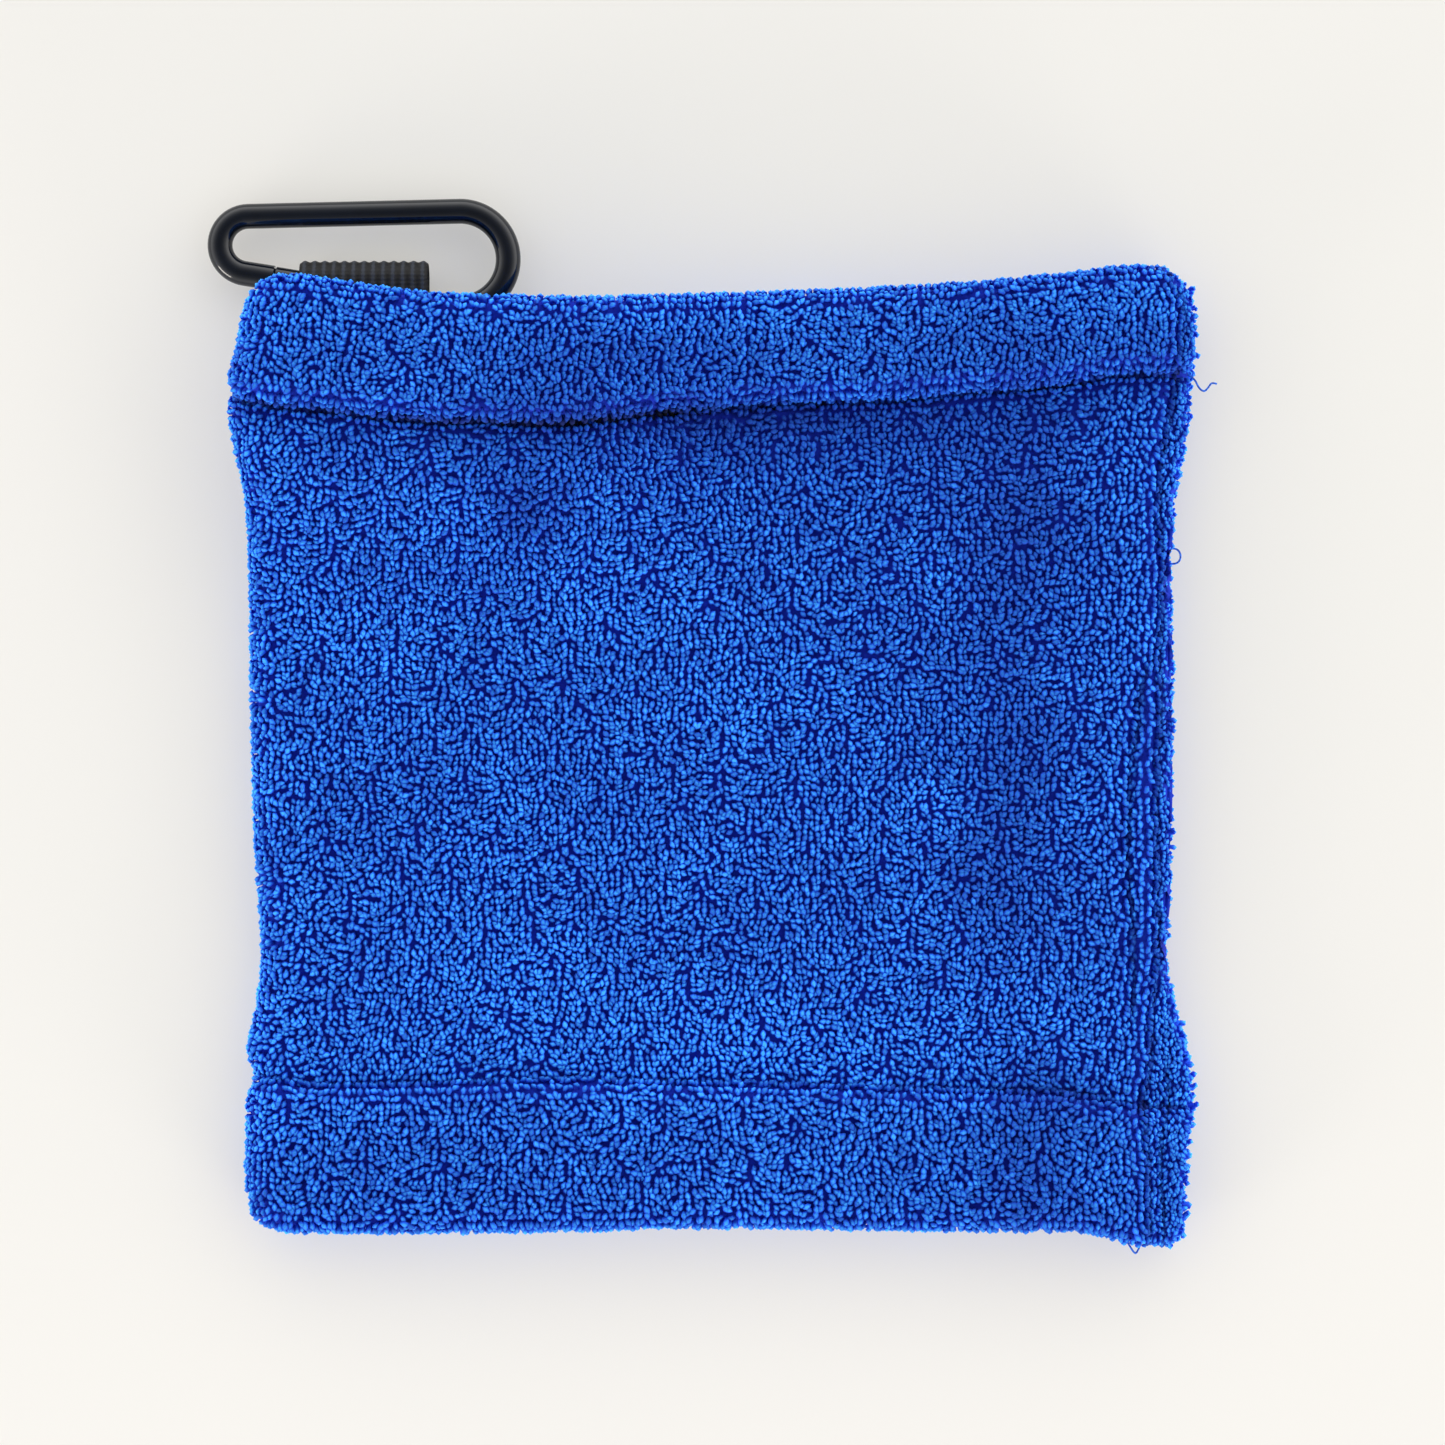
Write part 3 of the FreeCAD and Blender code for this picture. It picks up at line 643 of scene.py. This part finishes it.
def pile_piece(name, columns, rows, seed, scatter=(0.2, 0.28), size=1.0, light=1.0, press=0.65,
               **sizes):
    """A stretch of terry pile: a loop on every point of the grid, up to scatter millimetres out
    of place across and along. Press flattens the loops that face the ground."""
    rng = np.random.default_rng(seed)
    points, outward, inside = skin(columns, rows)
    across, along = np.gradient(points, axis=1), np.gradient(points, axis=0)
    upright = np.cross(across, along)
    upright *= np.sign((upright * outward).sum(-1, keepdims=True))
    length = np.linalg.norm(upright, axis=-1, keepdims=True)
    upright = np.where(length > 1e-12, upright / np.maximum(length, 1e-12), outward)
    upright = 0.7 * upright + 0.3 * outward
    for direction, amount in ((across, scatter[0]), (along, scatter[1])):
        reach = np.maximum(np.linalg.norm(direction, axis=-1, keepdims=True), 1e-9)
        shift = rng.uniform(-amount, amount, direction.shape[:2] + (1,)) * MM
        points = points + direction / reach * shift
    x, y = points[..., 0] / MM, points[..., 1] / MM
    top, bottom, seam, inner, outer = lines(x, y)
    creases = np.clip(top + 0.75 * bottom + 0.85 * (seam + inner + outer), 0, 1)
    curl = (0.35 + 0.65 * ease(0.5 + 0.8 * drift(x, y, 14, 8))) * (1 - 0.7 * ease((x - 58) / 6))
    nap = (-math.pi / 2 + CURL * curl * drift(x, y, 3.2, 9)
           + rng.uniform(-NAP_SPREAD, NAP_SPREAD, x.shape))
    loop_size = (size * rng.uniform(1 - SIZE_SPREAD, 1 + SIZE_SPREAD, x.shape)
                 * (1 - 0.06 * creases))
    facing = outward[..., 2]
    rise = (1 - 0.35 * (1 - np.abs(facing))) * (1 - press * np.clip(-facing, 0, 1))
    # each loop's random tone, times the nap patches' painted shade and light, less painted shade
    # along the bottoms of creases
    tone = (nap_tone_and_shade(x, y) * rng.normal(1.0, TONE_SPREAD, x.shape).clip(0.6, 1.5)
            - CREASE_SHADE * creases**2)
    return yarn_piece(name, points[inside], upright[inside], nap[inside], loop_size[inside],
                      light * tone[inside], PILE, rise=rise[inside], **sizes)


def make_pile():
    """All the pile, in pieces that are each light enough to handle."""
    body = band_rows("body", BODY_ROWS)
    step = [("top", share, 0.0, 0.0) for share in STEP_ROWS]
    rest = [("top", TOP_FROM + (1 - TOP_FROM) * (k + 0.5) / TOP_ROWS, 0.0, 0.0)
            for k in range(TOP_ROWS)]
    over_top = turned_rows("top", 1.0, EDGE_TURNS, PILE_TURN)
    under_bottom = turned_rows("bottom", 0.0, EDGE_TURNS, PILE_TURN)
    top = step + rest + over_top
    bottom = under_bottom[::-1] + band_rows("bottom", BOTTOM_ROWS)
    pieces = []
    for k in range(FRONT_PARTS):
        columns = spread("main", FRONT_COLUMNS // FRONT_PARTS, 1.0, k / FRONT_PARTS,
                         (k + 1) / FRONT_PARTS)
        pieces.append(pile_piece(f"pile_front_{k + 1}", columns, body, 11 + k))
    full = spread("main", FRONT_COLUMNS, 1.0)
    pieces.append(pile_piece("pile_top_hem_front", full, top, 21))
    pieces.append(pile_piece("pile_bottom_hem_front", full, bottom, 22, size=1.07, light=0.97))
    pieces.append(pile_piece("pile_left_fold", fold_columns(12), bottom + body + top, 23))

    # the narrow strip past the seam has smaller, closer loops, so that none of the ground shows
    strip = [("allowance", 0.6 * k - 0.25, 0.0, 1.0) for k in range(16)]
    rows = (under_bottom[::-1] + band_rows("bottom", 34) + band_rows("body", 165)
            + band_rows("top", 30) + over_top)
    pieces.append(pile_piece("pile_seam_allowance_front", strip, rows, 24, scatter=(0.3, 0.3),
                             size=0.8, light=1.1))

    # behind, the pile stands up only round the hems' edges
    behind = (spread("main", FRONT_COLUMNS, -1.0)
              + [("allowance", 0.5 + n, 0.0, -1.0) for n in range(8)])
    pieces.append(pile_piece("pile_top_edge_back", behind, over_top, 27, size=0.95))
    pieces.append(pile_piece("pile_bottom_edge_back", behind, under_bottom, 28, size=0.95))
    rows = (band_rows("bottom", 16) + band_rows("body", round(BODY_HEIGHT / BACK_PITCH))
            + band_rows("top", 14))
    for k in range(BACK_PARTS):
        columns = spread("main", BACK_COLUMNS // BACK_PARTS, -1.0, k / BACK_PARTS,
                         (k + 1) / BACK_PARTS)
        if k == BACK_PARTS - 1:
            columns += [("allowance", 0.6 + BACK_PITCH * n, 0.0, -1.0) for n in range(6)]
        pieces.append(pile_piece(f"pile_back_{k + 1}", columns, rows, 31 + k, press=0.0,
                                 height=0.55 * MM, reach=1.3 * MM, yarn=0.34 * MM, fall=0.4,
                                 steps=3))
    return pieces


# ---- base cloth ----------------------------------------------------------------------------
TOP_FLAP, BOTTOM_FLAP = 15, 18      # how far each hem is turned in, in millimetres


def make_cloth():
    """The knitted ground as one thin cloth: turned in at both hems and folded on the left."""
    past_seam = [("allowance", d, 0.0, 1.0) for d in (0.0, 1.0, 2.0, 3.5, 5.0, 7.0, 9.0)]
    front = spread("main", 75, 1.0) + past_seam + [("raw", 0.0, 0.0, 1.0)]
    back = [(zone, place, turn, -1.0) for zone, place, turn, _ in front]
    columns = front[::-1] + fold_columns(10) + back
    top_flap = [("top", 1.0, math.pi, d) for d in np.linspace(2, TOP_FLAP, 7)]
    bottom_flap = [("bottom", 0.0, math.pi, d) for d in np.linspace(2, BOTTOM_FLAP, 8)]
    rows = (bottom_flap[::-1] + turned_rows("bottom", 0.0, EDGE_TURNS, math.pi)[::-1]
            + band_rows("bottom", 16) + band_rows("body", 90) + band_rows("top", 16)
            + turned_rows("top", 1.0, EDGE_TURNS, math.pi) + top_flap)
    points = skin(columns, rows)[0]
    cloth = new_piece("cloth_ground", grid_mesh("cloth_ground", points))
    wall = cloth.modifiers.new("wall", "SOLIDIFY")
    wall.thickness = CLOTH_T * MM
    wall.offset = -1.0
    cloth = plain_mesh(cloth, "cloth_ground")
    cloth.data.materials.append(GROUND)
    return cloth


# ---- threads, in millimetres ---------------------------------------------------------------
STITCH_PITCH = 2.9
THREAD_SINK = 0.15      # how far the stitches lie in the cloth they pull in
TUFT_PITCH = 0.24
GATHER_PITCH = 2.05     # overlock thread draws the tufts of the raw edge together at each turn


def stepped(line, pitch):
    """Points evenly spaced along a polyline, in its own units, and the direction at each."""
    line = np.asarray(line, float)
    lengths = np.concatenate([[0], np.cumsum(np.linalg.norm(np.diff(line, axis=0), axis=1))])
    at = np.arange(0.5 * pitch, lengths[-1], pitch)
    points = np.stack([np.interp(at, lengths, line[:, k]) for k in range(3)], 1)
    ahead = np.stack([np.interp(at + 0.3 * pitch, lengths, line[:, k]) for k in range(3)], 1)
    direction = ahead - points
    return points, direction / np.maximum(np.linalg.norm(direction, axis=1, keepdims=True), 1e-9)


def lockstitches(name, paths, finish, yarn=0.26, pitch=STITCH_PITCH, seed=5):
    """A row of lockstitches along each path; a path is points and the way its stitches face."""
    rng = np.random.default_rng(seed)
    places, naps, ups = [], [], []
    for line, up in paths:
        points, direction = stepped(np.asarray(line) / MM, pitch)
        places.append(points * MM)
        ups.append(np.tile(up, (len(points), 1)))
        turn = np.arctan2(direction[:, 1], direction[:, 0])
        naps.append(turn if up[2] > 0 else math.pi - turn)
    nap = np.concatenate(naps)
    return yarn_piece(name, np.concatenate(places), np.concatenate(ups),
                      nap + rng.uniform(-0.06, 0.06, len(nap)), 1.0, 1.0, finish,
                      height=0.45 * MM, reach=(pitch - 0.5) * MM, fall=0.0, yarn=yarn * MM,
                      sides=6, steps=6)


def hem_line(band, side):
    """The line of a hem's stitches on one face."""
    columns = [("main", s, 0.0, side) for s in np.linspace(0.0, 1.0, 90)]
    row = (band, 0.0 if band == "top" else 1.0, 0.0, 0.0)
    return skin(columns, [row], raised=-THREAD_SINK)[0][0]


def side_seam_line(side):
    """The line of the side seam's stitches on one face."""
    rows = band_rows("bottom", 10) + band_rows("body", 60) + band_rows("top", 10)
    return skin([("allowance", 0.0, 0.0, side)], rows, raised=-THREAD_SINK)[0][:, 0]


def make_stitches():
    """The stitches of both hems and the side seam, each with the node it stands for."""
    up, down = (0, 0, 1), (0, 0, -1)
    made = []
    for node, band in (("top_hem_stitching", "top"), ("bottom_hem_stitching", "bottom")):
        paths = [(hem_line(band, 1.0), up), (hem_line(band, -1.0), down)]
        made.append((lockstitches(node + "_thread", paths, BLUE_THREAD), node))
    paths = [(side_seam_line(1.0), up), (side_seam_line(-1.0), down)]
    made.append((lockstitches("side_seam_thread", paths, BLUE_THREAD), "side_seam_stitching"))
    return made


def make_fringe():
    """Cut pile and overlock thread along both raw edges: tufts that gather every 2 mm."""
    rng = np.random.default_rng(41)
    rows = (turned_rows("bottom", 0.0, 4, 1.6)[::-1] + band_rows("bottom", 40)
            + band_rows("body", 200) + band_rows("top", 36) + turned_rows("top", 1.0, 4, 1.6))
    places, ups, sizes, tones = [], [], [], []
    for side in (1.0, -1.0):
        line = skin([("raw", 0.0, 0.0, side)], rows)[0][:, 0] / MM
        points, direction = stepped(line, TUFT_PITCH)
        out = np.stack([direction[:, 1], -direction[:, 0], 0 * direction[:, 0]], 1)
        out *= np.sign(out[:, :1] + 1e-6)
        count = len(points)
        turns = (points[:, 1] + 0.6 * side) / GATHER_PITCH
        gather = np.sin(2 * math.pi * turns + 0.36 * rng.normal(size=count))
        low = ease((-30 - points[:, 1]) / 12) + 0.3 * ease((points[:, 1] - 35) / 10)
        sizes.append(0.66 + rng.uniform(-0.12, 0.12, count) + (0.14 + 0.24 * low) * gather)
        spread_z = rng.uniform(-0.5, 0.25, count) + (0.15 if side > 0 else -0.1)
        ups.append(out + np.stack([0 * spread_z, rng.uniform(-0.45, 0.45, count), spread_z], 1))
        places.append((points + out * rng.uniform(-0.9, 0.15, (count, 1))
                       - [[0, 0, side]] * rng.uniform(0.1, 1.7, (count, 1))) * MM)
        tones.append(rng.uniform(1.05, 1.5, count))
    ups = np.concatenate(ups)
    ups /= np.linalg.norm(ups, axis=1, keepdims=True)
    count = len(ups)
    return yarn_piece("raw_edge_fringe", np.concatenate(places), ups, rng.uniform(0, 6.3, count),
                      np.concatenate(sizes), np.concatenate(tones), PILE,
                      height=1.3 * MM, reach=0.9 * MM, fall=0.8, yarn=0.5 * MM)


def thread_tube(name, runs, radius, finish):
    """Loose thread: a smooth tube through each run of points, in millimetres."""
    data = bpy.data.curves.new(name, "CURVE")
    data.dimensions = "3D"
    data.bevel_depth = radius * MM
    data.bevel_resolution = 2
    data.resolution_u = 6
    data.use_fill_caps = True
    for run in runs:
        spline = data.splines.new("NURBS")
        spline.points.add(len(run) - 1)
        for point, place in zip(spline.points, run):
            point.co = (place[0] * MM, place[1] * MM, place[2] * MM, 1.0)
        spline.order_u = 3
        spline.use_endpoint_u = True
    piece = plain_mesh(new_piece(name, data), name)
    piece.data.polygons.foreach_set("use_smooth", [True] * len(piece.data.polygons))
    piece.data.materials.append(finish)
    return piece


LOOSE_ENDS = [
    [(75.4, 61.0, 4.6), (76.6, 60.2, 5.0), (77.3, 58.6, 5.0), (78.2, 58.0, 4.9), (78.9, 58.8, 4.8),
     (79.4, 59.6, 4.9), (80.2, 59.3, 4.9)],
    [(72.4, 33.0, 4.2), (73.8, 33.2, 4.6), (74.6, 31.8, 4.8), (73.9, 30.4, 4.6),
     (72.6, 30.6, 4.2)],
    [(65.2, -76.4, 3.6), (66.0, -78.0, 3.8), (67.2, -79.9, 3.6), (67.6, -79.6, 3.5),
     (68.3, -78.0, 3.4), (69.2, -77.0, 3.2)]]


# ---- webbing, in millimetres ---------------------------------------------------------------
WEB_X = (-66.4, -45.9)
WEB_T = 1.0
RIBS, RIB_STEPS = 13, 8
RIB_DEPTH = 0.26
SELVEDGE = 0.5                      # how far in from each edge the band is rounded
SELVEDGE_THIN = 0.25                # and how thin it gets there, as a share
TAIL_START, TAIL_END, STRAIGHT_FROM, BEND_AT = 52.5, 59.5, 66.0, 76.0
PLY_LOW, PLY_HIGH = 0.55, 5.85      # middles of the loop's two plies
TAIL_LOW, TAIL_HIGH = 5.1, 6.1      # middles of the two plies where they are stitched


def webbing_path():
    """(y, z) along the middle of the webbing, from one end round the gate to the other."""
    bend_r = (PLY_HIGH - PLY_LOW) / 2
    middle = (PLY_HIGH + PLY_LOW) / 2
    path = [(y, TAIL_LOW) for y in np.linspace(TAIL_START, TAIL_END, 5)]
    for f in np.linspace(0, 1, 12)[1:]:
        path.append((TAIL_END + (STRAIGHT_FROM - TAIL_END) * f,
                     TAIL_LOW + (PLY_LOW - TAIL_LOW) * float(ease(f))))
    path += [(y, PLY_LOW) for y in np.linspace(STRAIGHT_FROM, BEND_AT, 8)[1:]]
    path += [(BEND_AT + bend_r * math.sin(a), middle - bend_r * math.cos(a))
             for a in np.linspace(0, math.pi, 22)[1:]]
    path += [(y, PLY_HIGH) for y in np.linspace(BEND_AT, STRAIGHT_FROM, 8)[1:]]
    for f in np.linspace(0, 1, 8)[1:]:
        path.append((STRAIGHT_FROM + (TAIL_END - STRAIGHT_FROM) * f,
                     PLY_HIGH + (TAIL_HIGH - PLY_HIGH) * float(ease(f))))
    path += [(y, TAIL_HIGH) for y in np.linspace(TAIL_END, TAIL_START, 5)[1:]]
    return np.array(path)


def make_webbing():
    """The webbing as one band: ribs run along it, and its two edges are woven over and rounded."""
    path = webbing_path()
    step = np.gradient(path, axis=0)
    step /= np.linalg.norm(step, axis=1, keepdims=True)
    width = WEB_X[1] - WEB_X[0]
    across = np.linspace(0, 1, RIBS * RIB_STEPS + 1)
    rib = 0.5 - 0.5 * np.cos(2 * math.pi * RIBS * across)
    from_edge = np.minimum(across, 1 - across) * width
    rounding = np.sqrt(np.clip(from_edge / SELVEDGE, 0, 1))
    half = (0.5 * WEB_T - RIB_DEPTH + RIB_DEPTH * rib) * np.maximum(rounding, SELVEDGE_THIN)
    ring = [(x, h) for x, h in zip(across, half)] + [(x, -h) for x, h in zip(across, half)][::-1]
    count = len(ring)
    points, faces = [], []
    for (y, z), (dy, dz) in zip(path, step):
        for x, h in ring:
            points.append(((WEB_X[0] + width * x) * MM, (y - dz * h) * MM, (z + dy * h) * MM))
    for i in range(len(path) - 1):
        for j in range(count):
            a, b = i * count + j, i * count + (j + 1) % count
            faces.append((a, a + count, b + count, b))
    faces.append(tuple(range(count)))
    faces.append(tuple(range(len(points) - count, len(points)))[::-1])
    mesh = bpy.data.meshes.new("webbing_band")
    mesh.from_pydata(points, [], faces)
    mesh.polygons.foreach_set("use_smooth", [True] * len(mesh.polygons))
    mesh.materials.append(WEBBING)
    # the rib profile, which the webbing's material turns into painted shade in the valleys and
    # painted sheen on the crests
    marks = np.tile(np.concatenate([rib, rib[::-1]]), len(path)).astype(np.float32)
    mesh.attributes.new("rib", "FLOAT", "POINT").data.foreach_set("value", marks)
    return new_piece("webbing_band", mesh)


def make_loop_stitches():
    """The box with a cross that holds the webbing's two ends together, seen on its outer face."""
    x0, x1, y0, y1 = WEB_X[0] + 1.5, WEB_X[1] - 1.5, TAIL_START + 1.5, TAIL_END - 1.5
    z = TAIL_LOW - 0.5 * WEB_T - 0.05
    corners = [(x0, y0, z), (x1, y0, z), (x1, y1, z), (x0, y1, z)]
    runs = [(0, 1), (1, 2), (2, 3), (3, 0), (0, 2), (1, 3)]
    paths = [(np.array([corners[a], corners[b]]) * MM, (0, 0, -1)) for a, b in runs]
    return lockstitches("loop_box_stitches", paths, BLACK_THREAD, yarn=0.2, pitch=1.9)


cloth = make_cloth()
pile = make_pile()
fringe = make_fringe()
stitches = make_stitches()
loose_ends = thread_tube("loose_ends", LOOSE_ENDS, 0.16, BRIGHT_THREAD)
towel_nodes = [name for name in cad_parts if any(
    key in name for key in ("panel", "left_fold", "hem_back", "hem_front", "allowance"))]

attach(cloth, "towel")
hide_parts(*towel_nodes)
for piece in pile + [fringe]:
    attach(piece, "towel")
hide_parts("overlock_edge")
for piece, node in stitches + [(loose_ends, "loose_thread_ends")]:
    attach(piece, "towel")
    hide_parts(node)

webbing = make_webbing()
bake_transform(webbing)
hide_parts("webbing_tail", "webbing_loop")
box_stitches = make_loop_stitches()
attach(box_stitches, "towel")
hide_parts("loop_stitching")

# ---- kept nodes ----------------------------------------------------------------------------
FINISHES = {"carabiner_ring": COATING, "gate": COATING, "gate_pivot_pin": PIN_STEEL,
            "latch_pin": PIN_STEEL, "gate_plunger": PIN_STEEL, "gate_spring": SPRING_STEEL}
for name, finish in FINISHES.items():
    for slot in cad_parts[name].material_slots:
        slot.material = finish

# ---- stage, light and camera ---------------------------------------------------------------
BOARD_HALF = 1500                   # in millimetres, as the next four are
BOARD_DROP = 0.2                    # how far the board is under what lies on it
VIEW_WIDTH = 231.2
VIEW_MIDDLE = (1.2, 5.2)
VIEW_HEIGHT = 4                     # the view is that wide this far over the board
SENSOR = 36.0


def make_stage():
    """The board that everything lies on."""
    corners = [(x * BOARD_HALF * MM, y * BOARD_HALF * MM, -BOARD_DROP * MM)
               for x, y in ((-1, -1), (1, -1), (1, 1), (-1, 1))]
    mesh = bpy.data.meshes.new("board")
    mesh.from_pydata(corners, [], [(0, 1, 2, 3)])
    mesh.materials.append(matt_board())
    board = new_piece("board", mesh)


def soft_box(name, place, aim, size, power, colour):
    """A strip lamp, wide and low, that faces aim."""
    data = bpy.data.lights.new(name, "AREA")
    data.shape = "RECTANGLE"
    data.size, data.size_y = size
    data.energy = power
    data.color = colour
    lamp = bpy.data.objects.new(name, data)
    lamp.location = place
    lamp.rotation_euler = (Vector(aim) - Vector(place)).to_track_quat("-Z", "Y").to_euler()
    bpy.context.scene.collection.objects.link(lamp)


def make_light():
    """Two strip lamps, low in front to the left and right, in a pale room that is brighter past
    the towel's top hem and has a dark ceiling."""
    soft_box("left lamp", (-1.05, -0.8, 0.2), (0, 0, 0), (0.6, 0.3), 8.0, (1.0, 0.93, 0.86))
    soft_box("right lamp", (0.85, -1.0, 0.2), (0, 0, 0), (0.6, 0.3), 7.0, (1.0, 0.95, 0.90))
    world = bpy.data.worlds.new("room")
    world.use_nodes = True
    tree = world.node_tree
    tree.nodes.clear()
    place = add(tree, "ShaderNodeTexCoord").outputs["Generated"]
    height = add(tree, "ShaderNodeSeparateXYZ", {0: place}).outputs["Z"]
    colour = add(tree, "ShaderNodeValToRGB", {"Fac": height},
                 stops=[(0.0, (1.0, 0.985, 0.965, 1.0)), (0.35, (0.9, 0.895, 0.885, 1.0)),
                        (0.6, (0.46, 0.46, 0.46, 1.0)), (0.85, (0.17, 0.17, 0.175, 1.0)),
                        (1.0, (0.08, 0.08, 0.085, 1.0))]).outputs[0]
    side = add(tree, "ShaderNodeVectorMath", {0: place}, operation="DOT_PRODUCT",
               values={1: (0.3, 0.9, 0.0)}).outputs["Value"]
    strength = add(tree, "ShaderNodeMath", {0: side}, operation="MULTIPLY_ADD",
                   values={1: 0.85, 2: 2.38}).outputs[0]
    sky = add(tree, "ShaderNodeBackground", {"Color": colour, "Strength": strength})
    add(tree, "ShaderNodeOutputWorld", {"Surface": sky.outputs[0]})
    bpy.context.scene.world = world


def make_camera():
    """Straight above the towel, looking down, with +Y at the top."""
    data = bpy.data.cameras.new("camera")
    data.sensor_width = SENSOR
    data.lens = SENSOR * EYE / VIEW_WIDTH
    camera = bpy.data.objects.new("camera", data)
    camera.location = [v * MM for v in (*VIEW_MIDDLE, EYE + VIEW_HEIGHT)]
    bpy.context.scene.collection.objects.link(camera)
    bpy.context.scene.camera = camera


make_stage()
make_light()
make_camera()
bpy.context.scene.view_settings.view_transform = "Standard"
